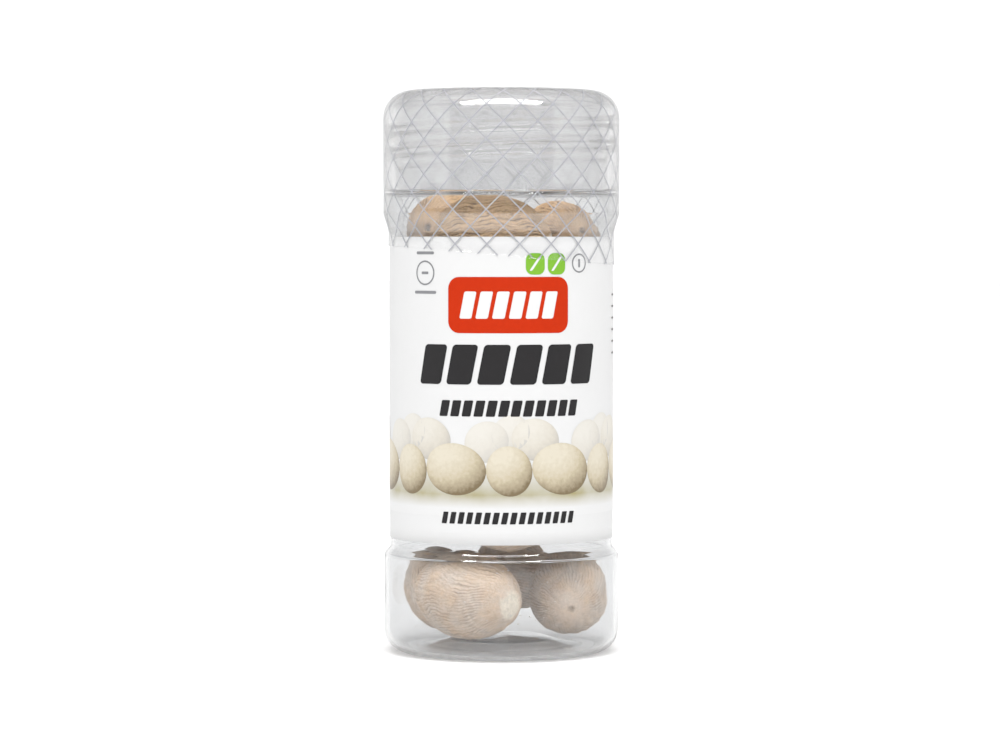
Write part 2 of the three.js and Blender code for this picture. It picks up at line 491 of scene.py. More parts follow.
def new_material(name: str) -> tuple[bpy.types.Material, Tree, bpy.types.Node, bpy.types.NodeSocket]:
    """Starts a material.

    Args:
        name: The material's name.

    Returns:
        The material, its tree, its Principled shader and the Object coordinates.
    """
    material = bpy.data.materials.new(name)
    material.use_nodes = True
    tree = Tree(material.node_tree)
    shader = material.node_tree.nodes["Principled BSDF"]
    place = tree.add("ShaderNodeTexCoord").outputs["Object"]
    return material, tree, shader, place


@dataclass(frozen=True)
class ClearPlastic:
    """See-through moulded plastic with faint waves and smears, and painted light and shade: a greyed tint, a
    different colour where its wall is seen edge-on, and lighter thread ridges.

    Attributes:
        name: The material's name.
        tint: The plastic's own colour, made greyer than the plastic is as painted shade.
        ridge_painted_light_tint: Its colour in a thread's ridge, lighter as painted light.
        rim_painted_shading_tint: Its colour where its wall is seen edge-on, as painted shade where it is
            darker than the tint and painted light where it is lighter.
        clearness: The share of light that passes instead of being scattered by haze.
        smoothest: The roughness of its clean places.
        dullest: The roughness of its smeared or cloudy places.
        frost: The roughness of its thick bottom, if it has one.
        frost_top: The height below which that starts, in metres.
        wave_depth: How deep its waviness is, in metres.
        index: Its index of refraction.
        rim_start: How far a wall is turned away where its painted rim shading starts, from 0 to 1.
        rim_end: How far it is turned away where that painted shading is full.
    """

    name: str
    tint: Colour
    ridge_painted_light_tint: Colour
    rim_painted_shading_tint: Colour
    clearness: float
    smoothest: float
    dullest: float
    frost: float = 0.0
    frost_top: float = 0.0
    wave_depth: float = 0.00006
    index: float = 1.55
    rim_start: float = 0.35
    rim_end: float = 0.95

    def make(self, effects: Effects) -> bpy.types.Material:
        """Builds the material."""
        material, tree, shader, place = new_material(self.name)
        smear = {"Vector": place, "Scale": 90.0, "Detail": 5.0, "Low": self.smoothest, "High": self.dullest}
        roughness = tree.group(effects.mottle, smear).outputs["Value"]
        if self.frost:
            height = tree.add("ShaderNodeSeparateXYZ", {0: place}).outputs[2]
            thick = tree.span(height, self.frost_top * 0.6, self.frost_top, self.frost, 0.0)
            roughness = tree.math("MAXIMUM", roughness, thick)
        wave = {
            "Vector": place,
            "Grain Scale": 2600.0,
            "Grain Depth": self.wave_depth / 40,
            "Wave Scale": 70.0,
            "Wave Depth": self.wave_depth,
        }
        normal = tree.group(effects.relief, wave).outputs["Normal"]
        tree.tree.links.new(roughness, shader.inputs["Roughness"])
        tree.tree.links.new(normal, shader.inputs["Normal"])
        ridge = tree.add("ShaderNodeAttribute", attribute_name="ridge").outputs["Fac"]
        # Painted shading: where the wall is seen edge-on its colour turns to the rim tint, darker as painted
        # shade on the jar and lighter as painted light on the cap.
        facing = tree.add("ShaderNodeLayerWeight", {"Blend": 0.5}).outputs["Facing"]
        rim = tree.span(facing, self.rim_start, self.rim_end, 0.0, 1.0)
        colour = tree.blend(rim, self.tint, self.rim_painted_shading_tint)
        # Painted light: the thread's ridges take a lighter colour.
        colour = tree.blend(ridge, colour, self.ridge_painted_light_tint)
        tree.tree.links.new(colour, shader.inputs["Base Color"])
        shader.inputs["Transmission Weight"].default_value = self.clearness
        shader.inputs["IOR"].default_value = self.index
        return material


@dataclass(frozen=True)
class Film:
    """Thin clear film that shows mostly as gloss.

    Attributes:
        name: The material's name.
        roughness: How blurred its gloss is.
        index: Its index of refraction, which counts the same from both sides.
    """

    name: str = "clear_film"
    roughness: float = 0.05
    index: float = 1.5

    def make(self, effects: Effects) -> bpy.types.Material:
        """Builds the material."""
        material, tree, shader, place = new_material(self.name)
        wave = {
            "Vector": place,
            "Grain Scale": 900.0,
            "Grain Depth": 0.000004,
            "Wave Scale": 140.0,
            "Wave Depth": 0.00012,
        }
        normal = tree.group(effects.relief, wave).outputs["Normal"]
        gloss = tree.add("ShaderNodeBsdfGlossy", {"Roughness": self.roughness, "Normal": normal})
        clear = tree.add("ShaderNodeBsdfTransparent", {"Color": (1.0, 1.0, 1.0, 1.0)})
        inside = tree.add("ShaderNodeNewGeometry").outputs["Backfacing"]
        index = tree.span(inside, 0.0, 1.0, self.index, 1 / self.index)
        edge = tree.add("ShaderNodeFresnel", {"IOR": index, "Normal": normal}).outputs[0]
        ray = tree.add("ShaderNodeLightPath").outputs
        is_lighting = tree.math("MAXIMUM", ray["Is Shadow Ray"], ray["Is Diffuse Ray"])
        shine = tree.math("MULTIPLY", edge, tree.math("SUBTRACT", 1.0, is_lighting))
        mixed = tree.add("ShaderNodeMixShader", {0: shine, 1: clear.outputs[0], 2: gloss.outputs[0]})
        tree.tree.links.new(mixed.outputs[0], material.node_tree.nodes["Material Output"].inputs["Surface"])
        material.node_tree.nodes.remove(shader)
        return material


@dataclass(frozen=True)
class Ink:
    """Printed ink with a slightly uneven tone.

    Attributes:
        name: The material's name.
        colour: The ink's colour.
        roughness: How matt it is.
        unevenness: How much its tone varies.
        gloss: How strongly it shines.
    """

    name: str
    colour: Colour
    roughness: float = PRINT_ROUGHNESS
    unevenness: float = 0.06
    gloss: float = 0.05

    def make(self, effects: Effects) -> bpy.types.Material:
        """Builds the material."""
        material, tree, shader, place = new_material(self.name)
        patches = {"Vector": place, "Scale": 900.0, "Detail": 3.0, "Low": 1 - self.unevenness, "High": 1.0}
        tone = tree.group(effects.mottle, patches).outputs["Value"]
        grain = {
            "Vector": place,
            "Grain Scale": 4000.0,
            "Grain Depth": 0.000003,
            "Wave Scale": 400.0,
            "Wave Depth": 0.000005,
        }
        colour = tree.blend(1.0, self.colour, tone, "MULTIPLY")
        tree.tree.links.new(colour, shader.inputs["Base Color"])
        tree.tree.links.new(tree.group(effects.relief, grain).outputs["Normal"], shader.inputs["Normal"])
        shader.inputs["Roughness"].default_value = self.roughness
        shader.inputs["Specular IOR Level"].default_value = self.gloss
        return material


@dataclass(frozen=True)
class OvalPrint:
    """The printed shaded ovals: pale where the light falls and ochre on the far side.

    Attributes:
        name: The material's name.
        light: The lit colour.
        middle: The body colour.
        dark: The shaded colour.
        paper: The colour that pale ovals fade to.
    """

    name: str = "printed_ovals"
    light: Colour = srgb(206, 197, 176)
    middle: Colour = srgb(180, 166, 136)
    dark: Colour = srgb(104, 86, 54)
    paper: Colour = srgb(213, 212, 209)

    def make(self, effects: Effects) -> bpy.types.Material:
        """Builds the material from the form attribute: a point's place in its oval, and its paleness."""
        material, tree, shader, place = new_material(self.name)
        form = tree.add("ShaderNodeAttribute", attribute_name="form").outputs["Vector"]
        parts = tree.add("ShaderNodeSeparateXYZ", {0: form})
        across, up, pale = parts.outputs
        squared = tree.math("ADD", tree.math("MULTIPLY", across, across), tree.math("MULTIPLY", up, up))
        bulge = tree.math("SQRT", tree.math("MAXIMUM", tree.math("SUBTRACT", 1.0, squared), 0.0))
        side = tree.math("ADD", tree.math("MULTIPLY", across, -0.35), tree.math("MULTIPLY", up, 0.65))
        lit = tree.math("ADD", side, tree.math("MULTIPLY", bulge, 0.67))
        grain = {"Vector": place, "Scale": 1400.0, "Detail": 4.0, "Low": -0.12, "High": 0.12}
        lit = tree.math("ADD", lit, tree.group(effects.mottle, grain).outputs["Value"])
        body = tree.blend(tree.span(lit, -0.35, 0.4, 0.0, 1.0), self.dark, self.middle)
        body = tree.blend(tree.span(lit, 0.35, 0.95, 0.0, 1.0), body, self.light)
        body = tree.blend(pale, body, self.paper)
        tree.tree.links.new(body, shader.inputs["Base Color"])
        shader.inputs["Roughness"].default_value = PRINT_ROUGHNESS
        return material


@dataclass(frozen=True)
class GroundPrint:
    """The printed strip that the ovals stand on: olive under them and fading to white below and above.

    Attributes:
        name: The material's name.
        colour: The strip's strongest colour.
        paper: The colour that it fades to.
        middle: The height of its strongest line, in metres.
        fade_down: How far it reaches below that line, in metres.
        fade_up: How far it reaches above that line, in metres.
    """

    name: str
    colour: Colour
    paper: Colour
    middle: float
    fade_down: float
    fade_up: float

    def make(self, effects: Effects) -> bpy.types.Material:
        """Builds the material."""
        material, tree, shader, place = new_material(self.name)
        height = tree.add("ShaderNodeSeparateXYZ", {0: place}).outputs[2]
        patches = {"Vector": place, "Scale": 160.0, "Detail": 3.0, "Low": 0.55, "High": 1.0}
        cloud = tree.group(effects.mottle, patches).outputs["Value"]
        below = tree.span(height, self.middle - self.fade_down, self.middle, 0.0, 1.0)
        above = tree.span(height, self.middle, self.middle + self.fade_up, 1.0, 0.0)
        share = tree.math("MULTIPLY", tree.math("MULTIPLY", below, above), cloud)
        tree.tree.links.new(tree.blend(share, self.paper, self.colour), shader.inputs["Base Color"])
        shader.inputs["Roughness"].default_value = PRINT_ROUGHNESS
        return material


@dataclass(frozen=True)
class NutmegShell:
    """A nutmeg's dry skin: tan with darker furrows, a powdery bloom and a pale scar, and painted shade in its
    pit, groove crease and folds.

    Attributes:
        name: The material's name.
        shell: The skin's main colour.
        furrow: The colour down in the furrows.
        chalk: The colour of the powdery bloom.
        scar: The colour of the stem scar.
        gloss: How strongly it shines.
    """

    name: str = "nutmeg_shell"
    shell: Colour = srgb(222, 177, 125)
    furrow: Colour = srgb(84, 56, 34)
    chalk: Colour = srgb(224, 213, 201)
    scar: Colour = srgb(244, 232, 211)
    gloss: float = 0.12

    def make(self, effects: Effects) -> bpy.types.Material:
        """Builds the material from the marks attribute, furrow, scar and tone, and the bloom attribute; the
        tone is a random tint with painted shade in the pit, crease and folds.
        """
        material, tree, shader, place = new_material(self.name)
        marks = tree.add("ShaderNodeAttribute", attribute_name="marks").outputs["Vector"]
        bloom = tree.add("ShaderNodeAttribute", attribute_name="bloom").outputs["Fac"]
        # The third mark is the tone: a random tint with painted shade in the pit, crease and folds.
        furrow, scar, tint = tree.add("ShaderNodeSeparateXYZ", {0: marks}).outputs
        patches = {"Vector": place, "Scale": 260.0, "Detail": 6.0, "Low": 0.35, "High": 1.0}
        powder = tree.math("MULTIPLY", tree.group(effects.mottle, patches).outputs["Value"], bloom)
        specks = {"Vector": place, "Scale": 2200.0, "Detail": 3.0, "Low": 0.86, "High": 1.08}
        speckle = tree.group(effects.mottle, specks).outputs["Value"]
        skin = tree.blend(powder, self.shell, self.chalk)
        depth = tree.math("MULTIPLY", furrow, tree.span(bloom, 0.0, 1.0, 1.0, 0.46))
        skin = tree.blend(depth, skin, self.furrow)
        skin = tree.blend(scar, skin, self.scar)
        skin = tree.blend(1.0, skin, speckle, "MULTIPLY")
        # Multiplies in the tone, with its painted shade.
        skin = tree.blend(1.0, skin, tint, "MULTIPLY")
        grain = {
            "Vector": place,
            "Grain Scale": 2600.0,
            "Grain Depth": 0.00005,
            "Wave Scale": 800.0,
            "Wave Depth": 0.00008,
        }
        dull = {"Vector": place, "Scale": 500.0, "Detail": 3.0, "Low": 0.66, "High": 0.9}
        tree.tree.links.new(skin, shader.inputs["Base Color"])
        tree.tree.links.new(tree.group(effects.mottle, dull).outputs["Value"], shader.inputs["Roughness"])
        tree.tree.links.new(tree.group(effects.relief, grain).outputs["Normal"], shader.inputs["Normal"])
        shader.inputs["Specular IOR Level"].default_value = self.gloss
        return material


# --------------------------------------------------------------------------------------------------
# Plastic pieces
# --------------------------------------------------------------------------------------------------


@dataclass
class Jar:
    """The blow-moulded jar.

    Attributes:
        radius: The outer radius of its bulges.
        panel: The outer radius of its label panel.
        top: The height of its rim.
        wall: The thickness of its wall.
        neck: The outer radius of its neck.
        mouth: The inner radius of its neck.
        steps: How many steps go round it.
        thread_start: The height where its thread begins.
        thread_turns: How many turns its thread makes.
    """

    radius: float = field(default_factory=lambda: node_radius("jar"))
    panel: float = 21.05
    top: float = field(default_factory=lambda: node_top("jar"))
    wall: float = 0.8
    neck: float = 20.1
    mouth: float = 19.0
    steps: int = 192
    thread_start: float = 92.3
    thread_turns: float = 1.75

    def _outside(self) -> list[Corner]:
        """The profile's outer side, from the middle of the base to the rim."""
        return [
            Corner(0.0, 2.5),
            Corner(1.0, 2.5, 0.3),
            Corner(1.4, 2.3, 0.3),
            Corner(8.5, 2.0, 12.0),
            Corner(13.4, 0.45, 3.0),
            Corner(15.6, 0.0, 1.0),
            Corner(self.radius, 0.0, 4.3),
            Corner(self.radius, 18.8, 1.3),
            Corner(self.panel, 20.2, 1.1),
            Corner(self.panel, 79.9, 1.6),
            Corner(self.radius, 83.2, 1.2),
            Corner(self.radius, 87.15, 0.5),
            Corner(self.neck + 0.1, 87.3, 0.3),
            Corner(self.neck, 88.2, 0.4),
            Corner(self.neck, self.top, 0.35),
        ]

    def _inside(self) -> list[Corner]:
        """The profile's inner side, from the rim to the middle of the floor."""
        cup = self.radius - self.wall
        panel = self.panel - self.wall
        return [
            Corner(self.mouth, self.top, 0.35),
            Corner(self.mouth, 86.85, 0.5),
            Corner(cup, 86.75, 0.25),
            Corner(cup, 83.35, 0.4),
            Corner(panel, 80.05, 2.4),
            Corner(panel, 19.9, 1.9),
            Corner(cup, 18.5, 0.5),
            Corner(cup, 0.85, 3.5),
            Corner(15.3, 0.85, 1.6),
            Corner(13.2, 1.35, 3.0),
            Corner(8.2, 2.9, 10.0),
            Corner(0.0, 3.35),
        ]

    def build(self, material: bpy.types.Material) -> bpy.types.Object:
        """Builds the jar's shell with its thread."""
        bm = profile_wire(self._outside() + self._inside(), 6)
        cut_long(bm, 0.35, 89.0, self.top - 0.3)
        cut_long(bm, 2.0)
        turned(bm, self.steps)
        ScrewThread(self.neck, 1, self.thread_start, self.thread_turns).raise_on(bm)
        return publish("clear_jar", bm, [material], ["jar"])


@dataclass
class Cap:
    """The screw cap.

    Attributes:
        radius: Its outer radius.
        top: The height of its top.
        bottom: The height of its rim.
        wall: The thickness of its wall.
        plate: The thickness of its top.
        corner: The radius of its top edge.
        steps: How many steps go round it.
        thread_start: The height where its thread begins.
        thread_turns: How many turns its thread makes.
    """

    radius: float = field(default_factory=lambda: node_radius("cap"))
    top: float = field(default_factory=lambda: node_top("cap"))
    bottom: float = field(default_factory=lambda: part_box("cap")[0].z / MM)
    wall: float = 1.05
    plate: float = 1.1
    corner: float = 5.0
    steps: int = 192
    thread_start: float = 94.1
    thread_turns: float = 1.6

    def build(self, material: bpy.types.Material) -> bpy.types.Object:
        """Builds the cap's shell with the mark of its gate on top and its thread inside."""
        inner = self.radius - self.wall
        ceiling = self.top - self.plate
        corners = [
            Corner(0.0, self.top - 0.35),
            Corner(0.7, self.top - 0.35, 0.15),
            Corner(1.1, self.top - 0.05, 0.3),
            Corner(6.0, self.top),
            Corner(self.radius, self.top, self.corner),
            Corner(self.radius, self.bottom, 0.3),
            Corner(inner + 0.1, self.bottom, 0.25),
            Corner(inner, self.bottom + 1.2, 0.3),
            Corner(inner, ceiling, self.corner - self.wall),
            Corner(0.0, ceiling),
        ]
        bm = profile_wire(corners, 8)
        cut_long(bm, 0.35, self.bottom + 1.5, ceiling - self.corner / 2)
        turned(bm, self.steps)
        ScrewThread(inner, -1, self.thread_start, self.thread_turns).raise_on(bm)
        return publish("screw_cap", bm, [material], ["cap"])


@dataclass
class ShrinkBand:
    """The clear band with its printed lattice, drawn flat and then wrapped over the cap, shoulder and label.

    Attributes:
        stand_off: How far it stands off what it covers.
        cap_radius: The cap's outer radius.
        cap_top: The height of the cap's top.
        label_radius: The label's outer radius.
        corner: The radius of the cap's top edge.
        mouth: The radius of its opening on top.
        edge: The height of its lower edge at the middle.
        edge_rise: How far that edge rises for each millimetre towards +X.
        thickness: The film's thickness.
        diamonds: How many diamonds go round.
        diamond_height: Each diamond's height along the film.
        line: The lattice line's width.
        first_node: The angle, from the front towards +X, of one crossing, in degrees.
        node_height: The height of that crossing.
        across: How many columns the flat sheet starts with.
        along: How many rows it starts with.
    """

    stand_off: float = 0.17
    cap_radius: float = field(default_factory=lambda: node_radius("cap"))
    cap_top: float = field(default_factory=lambda: node_top("cap"))
    label_radius: float = field(default_factory=lambda: node_radius("label"))
    corner: float = 5.0
    mouth: float = 14.6
    edge: float = 75.4
    edge_rise: float = -0.085
    thickness: float = 0.05
    diamonds: int = 22
    diamond_height: float = 6.5
    line: float = 0.2
    first_node: float = 1.0
    node_height: float = 100.2
    across: int = 176
    along: int = 52

    def _section(self) -> list[tuple[float, float]]:
        """The film's section, from below its lower edge to the opening on top."""
        over_label = self.label_radius + self.stand_off
        over_cap = self.cap_radius + self.stand_off
        wire = profile_wire(
            [
                Corner(over_label, 72.0),
                Corner(over_label, 80.1, 1.8),
                Corner(over_cap, 83.4, 1.3),
                Corner(over_cap - 0.06, 87.3, 1.0),
                Corner(over_cap, 88.6, 1.0),
                Corner(over_cap, self.cap_top + self.stand_off, self.corner + self.stand_off),
                Corner(self.mouth, self.cap_top + self.stand_off),
            ],
            10,
        )
        points = sorted(((v.co.x, v.co.z) for v in wire.verts), key=lambda p: (round(p[1], 4), -p[0]))
        wire.free()
        return points

    def _flat_sheet(self, width: float, height: float, crossing: float) -> bmesh.types.BMesh:
        """The film laid flat, cut along both sides of every lattice line.

        Args:
            width: The sheet's width, once round the jar.
            height: The sheet's height.
            crossing: The height of the known crossing above the sheet's lower edge.

        Returns:
            The sheet, with index 1 on the printed faces.
        """
        bm = bmesh.new()
        bmesh.ops.create_grid(bm, x_segments=self.across, y_segments=self.along, size=0.5)
        bmesh.ops.translate(bm, vec=(0.5, 0.5, 0.0), verts=bm.verts)
        bmesh.ops.scale(bm, vec=(width, height, 1.0), verts=bm.verts)
        pitch = width / self.diamonds
        start = Vector((width * (0.5 + self.first_node / 360), crossing, 0.0))
        reach = math.ceil((width + height) / pitch) + 1
        lines = []
        for slope in (1, -1):
            normal = Vector((self.diamond_height, slope * pitch, 0.0)).normalized()
            for count in range(-reach, reach + 1):
                lines.append((start + Vector((count * pitch, 0.0, 0.0)), normal))
        for middle, normal in lines:
            for side in (-0.5, 0.5):
                cut_along(bm, middle + normal * (side * self.line), normal)
        for face in bm.faces:
            centre = face.calc_center_median()
            is_printed = any(abs((centre - middle).dot(n)) < self.line / 2 for middle, n in lines)
            face.material_index = int(is_printed)
        return bm

    def build(self, film: bpy.types.Material, ink: bpy.types.Material) -> bpy.types.Object:
        """Builds the band: flat, printed, wrapped, cut aslant at its lower edge and given its thickness."""
        section = np.array(self._section())
        lengths = np.concatenate(([0.0], np.cumsum(np.hypot(*np.diff(section, axis=0).T))))
        width = 2 * math.pi * self.cap_radius
        crossing = float(np.interp(self.node_height, section[:, 1], lengths))
        bm = self._flat_sheet(width, lengths[-1], crossing)
        for vert in bm.verts:
            angle = 2 * math.pi * vert.co.x / width - math.pi
            radius = float(np.interp(vert.co.y, lengths, section[:, 0]))
            height = float(np.interp(vert.co.y, lengths, section[:, 1]))
            ripple = 0.05 * noise.noise(Vector((3 * math.sin(angle), 3 * math.cos(angle), height / 3)))
            ripple *= smooth(86.0, 80.0, height)
            radius += ripple
            vert.co = (radius * math.sin(angle), -radius * math.cos(angle), height)
        bmesh.ops.remove_doubles(bm, verts=bm.verts, dist=1e-3)
        slant = Vector((-self.edge_rise, 0.0, 1.0)).normalized()
        cut_along(bm, (0.0, 0.0, self.edge), slant, clear_inner=True)
        bmesh.ops.recalc_face_normals(bm, faces=bm.faces)
        band = publish("lattice_band", bm, [film, ink], ["shrink_band"])
        solidify = band.modifiers.new("thickness", "SOLIDIFY")
        solidify.thickness = self.thickness * MM
        solidify.offset = 0.0
        return band


# --------------------------------------------------------------------------------------------------
# Label
# --------------------------------------------------------------------------------------------------


class PrintInk(Enum):
    """The label print's inks, by material index."""

    RED = 0
    GREEN = 1
    BLACK = 2
    GREY = 3
    WHITE = 4
    OVAL = 5
    GROUND = 6


class FlatPrint:
    """Simple printed shapes on the unrolled label.

    x runs to the viewer's right from the front, and y is the height.
    """

    def __init__(self) -> None:
        """Starts an empty sheet of print."""
        self.bm = bmesh.new()
        self.form = self.bm.verts.layers.float_vector.new("form")

    def _place(self, verts: Iterable[bmesh.types.BMVert], ink: PrintInk, lift: float, matrix: Matrix) -> None:
        """Puts a new shape where it goes and gives its faces their ink."""
        verts = list(verts)
        bmesh.ops.transform(self.bm, matrix=Matrix.Translation((0.0, 0.0, lift)) @ matrix, verts=verts)
        for face in {face for vert in verts for face in vert.link_faces}:
            face.material_index = ink.value

    def bar(
        self, x: float, y: float, width: float, height: float, ink: PrintInk,
        radius: float = 0.0, slant: float = 0.0, lift: float = 0.02,
    ) -> None:
        """Adds a bar, with rounded corners or slanting sides if asked.

        Args:
            x: Its middle's place across.
            y: Its middle's height.
            width: Its width.
            height: Its height.
            ink: Its ink.
            radius: Its corners' radius.
            slant: How far its sides lean, across for each millimetre up.
            lift: How far it stands off the label.
        """
        known = set(self.bm.verts)
        corners = bmesh.ops.create_grid(self.bm, x_segments=1, y_segments=1, size=0.5)["verts"]
        bmesh.ops.scale(self.bm, vec=(width, height, 1.0), verts=corners)
        if radius:
            round_corners(self.bm, corners, radius, 8)
        lean = Matrix.Identity(4)
        lean[0][1] = slant
        made = [vert for vert in self.bm.verts if vert not in known]
        self._place(made, ink, lift, Matrix.Translation((x, y, 0.0)) @ lean)

    def oval(
        self, x: float, y: float, width: float, height: float, turn: float, pale: float, lift: float
    ) -> None:
        """Adds a shaded oval.

        Args:
            x: Its middle's place across.
            y: Its middle's height.
            width: Its width.
            height: Its height.
            turn: How far it is turned, in degrees.
            pale: How far it fades towards the paper, from 0 to 1.
            lift: How far it stands off the label.
        """
        circle = bmesh.ops.create_circle(self.bm, cap_ends=True, cap_tris=True, segments=40, radius=1.0)
        made = circle["verts"]
        spin = Matrix.Rotation(math.radians(turn), 4, "Z")
        for vert in made:
            vert[self.form] = Vector((*(spin @ vert.co).xy, pale))
        size = Matrix.Diagonal((width / 2, height / 2, 1.0, 1.0))
        self._place(made, PrintInk.OVAL, lift, Matrix.Translation((x, y, 0.0)) @ spin @ size)

    def ring(self, x: float, y: float, radius: float, line: float, ink: PrintInk) -> None:
        """Adds a ring.

        Args:
            x: Its middle's place across.
            y: Its middle's height.
            radius: Its outer radius.
            line: Its line's width.
            ink: Its ink.
        """
        known = set(self.bm.verts)
        outline = bmesh.ops.create_circle(self.bm, cap_ends=True, segments=40, radius=radius)["verts"]
        disc = outline[0].link_faces[0]
        bmesh.ops.inset_region(self.bm, faces=[disc], thickness=line, use_boundary=True, use_even_offset=True)
        bmesh.ops.delete(self.bm, geom=[disc], context="FACES_ONLY")
        made = [vert for vert in self.bm.verts if vert not in known]
        self._place(made, ink, 0.02, Matrix.Translation((x, y, 0.0)))

    def slice_upright(self, spacing: float) -> None:
        """Cuts every shape along evenly spaced upright lines, so that it can bend."""
        low = min(vert.co.x for vert in self.bm.verts)
        high = max(vert.co.x for vert in self.bm.verts)
        for count in range(1, math.ceil((high - low) / spacing)):
            cut_along(self.bm, (low + count * spacing, 0.0, 0.0), (1.0, 0.0, 0.0))

    def trim(self, half_width: float) -> None:
        """Cuts off whatever lies further than the half width from the middle."""
        for side in (-1.0, 1.0):
            cut_along(self.bm, (side * half_width, 0.0, 0.0), (side, 0.0, 0.0), clear_outer=True)


def wrap(bm: bmesh.types.BMesh, radius: float) -> None:
    """Wraps a flat sheet round the jar's axis.

    Args:
        bm: The sheet: x across from the front, y the height, z the stand-off.
        radius: The radius on which lengths across are kept.
    """
    for vert in bm.verts:
        angle = vert.co.x / radius
        reach = radius + vert.co.z
        vert.co = (reach * math.sin(angle), -reach * math.cos(angle), vert.co.y)


@dataclass
class Label:
    """The paper label and its print.

    Attributes:
        radius: The paper's outer radius.
        bottom: Its lower edge's height.
        top: Its upper edge's height.
        gap: The gap between its ends at the back.
        turn: How far the print's middle is turned towards +X, in degrees.
        paper_thickness: The paper's thickness.
        slice: How far apart the print is cut so that it can bend.
        ground_line: The height of the frieze's ground.
    """

    radius: float = field(default_factory=lambda: node_radius("label"))
    bottom: float = field(default_factory=lambda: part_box("label")[0].z / MM)
    top: float = field(default_factory=lambda: node_top("label"))
    gap: float = 8.0
    turn: float = 4.0
    paper_thickness: float = 0.12
    slice: float = 0.9
    ground_line: float = 31.2

    def _paper(self, material: bpy.types.Material) -> bpy.types.Object:
        """The paper itself."""
        bm = bmesh.new()
        width = 2 * math.pi * self.radius - self.gap
        bmesh.ops.create_grid(bm, x_segments=150, y_segments=24, size=0.5)
        bmesh.ops.scale(bm, vec=(width, self.top - self.bottom, 1.0), verts=bm.verts)
        middle = (self.top + self.bottom) / 2
        bmesh.ops.translate(bm, vec=(0.0, middle, -self.paper_thickness), verts=bm.verts)
        wrap(bm, self.radius - 0.02)
        paper = publish("paper_label", bm, [material], ["label"])
        solidify = paper.modifiers.new("thickness", "SOLIDIFY")
        solidify.thickness = self.paper_thickness * MM
        solidify.offset = 1.0
        return paper

    def _name_block(self, sheet: FlatPrint) -> None:
        """The plain red panel with its row of white blocks, and two green tiles over it."""
        sheet.bar(0.0, 66.3, 23.4, 10.4, PrintInk.RED, radius=2.2, lift=0.02)
        self._row(sheet, 0.0, 66.3, 5.0, 6, 2.3, 0.8, PrintInk.WHITE, 0.035)
        for x in (4.9, 9.2):
            sheet.bar(x, 73.9, 3.7, 4.0, PrintInk.GREEN, radius=1.3)
            sheet.bar(x, 73.9, 0.5, 2.6, PrintInk.WHITE, radius=0.2, slant=0.7, lift=0.03)

    def _row(
        self, sheet: FlatPrint, x: float, y: float, height: float, count: int,
        width: float, space: float, ink: PrintInk, lift: float = 0.02,
    ) -> None:
        """A row of slanting blocks.

        Args:
            sheet: The sheet to print on.
            x: The row's middle.
            y: The row's height.
            height: How tall its blocks are.
            count: How many there are.
            width: How wide each is.
            space: The space between two.
            ink: Their ink.
            lift: How far they stand off the label.
        """
        first = x - (count - 1) * (width + space) / 2
        for index in range(count):
            sheet.bar(first + index * (width + space), y, width, height, ink, width * 0.14, 0.2, lift)

    def _word_blocks(self, sheet: FlatPrint) -> None:
        """Rows of slanting blocks where a label has its words."""
        self._row(sheet, 0.2, 55.3, 7.4, 6, 5.0, 1.1, PrintInk.BLACK)
        self._row(sheet, 0.2, 47.2, 3.0, 12, 1.75, 0.55, PrintInk.BLACK)
        self._row(sheet, 0.0, 26.9, 2.2, 16, 1.1, 0.55, PrintInk.BLACK)

    def _marks(self, sheet: FlatPrint) -> None:
        """The small rings and bars beside the red panel."""
        sheet.ring(-17.0, 72.2, 2.3, 0.3, PrintInk.GREY)
        sheet.bar(-17.0, 72.2, 1.7, 0.5, PrintInk.GREY, radius=0.2)
        sheet.bar(-17.0, 75.9, 4.4, 0.55, PrintInk.GREY, radius=0.25)
        sheet.bar(-17.0, 68.6, 5.4, 0.55, PrintInk.GREY, radius=0.25)
        sheet.ring(14.4, 74.0, 1.8, 0.3, PrintInk.GREY)
        sheet.bar(14.4, 74.0, 0.5, 1.6, PrintInk.GREY, radius=0.2)

    def _frieze(self, sheet: FlatPrint) -> None:
        """Two rows of shaded ovals on an olive ground, all the way round."""
        width = 2 * math.pi * self.radius - self.gap
        repeats = 6
        pitch = width / repeats
        sheet.bar(0.0, self.ground_line + 1.0, width + self.gap, 10.0, PrintInk.GROUND, lift=0.012)
        for index in range(repeats):
            x = (index - (repeats - 1) / 2) * pitch
            sheet.oval(x - 5.4, 41.4, 9.4, 7.8, -14.0, 0.5, 0.016)
            sheet.oval(x + 6.2, 41.0, 8.4, 7.6, 20.0, 0.62, 0.017)
            sheet.oval(x - 10.2, 42.6, 7.4, 6.6, 30.0, 0.66, 0.015)
            sheet.oval(x, 35.9, 12.4, 9.6, -8.0, 0.0, 0.030)
            sheet.oval(x + pitch / 2, 35.6, 8.6, 9.4, 16.0, 0.0, 0.034)

    def _back(self, sheet: FlatPrint) -> None:
        """The ruled panel and small bars on the back of the label."""
        middle = math.radians(140) * self.radius
        for side in (-1, 1):
            x = side * middle
            for row in range(7):
                sheet.bar(x, 70.0 - 2.6 * row, 14.0 - 1.6 * (row % 3), 0.7, PrintInk.GREY, radius=0.3)
        for row in range(6):
            x = math.radians(92) * self.radius
            sheet.bar(x, 68.0 - 2.2 * row, 13.0, 0.35, PrintInk.BLACK)

    def build(self, paper: bpy.types.Material, inks: Sequence[bpy.types.Material]) -> None:
        """Builds the paper and its print."""
        self._paper(paper)
        sheet = FlatPrint()
        self._name_block(sheet)
        self._word_blocks(sheet)
        self._marks(sheet)
        self._back(sheet)
        self._frieze(sheet)
        sheet.slice_upright(self.slice)
        shift = math.radians(self.turn) * self.radius
        bmesh.ops.translate(sheet.bm, vec=(shift, 0.0, 0.0), verts=sheet.bm.verts)
        sheet.trim(math.pi * self.radius - self.gap / 2 - 0.1)
        wrap(sheet.bm, self.radius)
        publish("label_print", sheet.bm, inks)


# --------------------------------------------------------------------------------------------------
# Nutmegs
# --------------------------------------------------------------------------------------------------


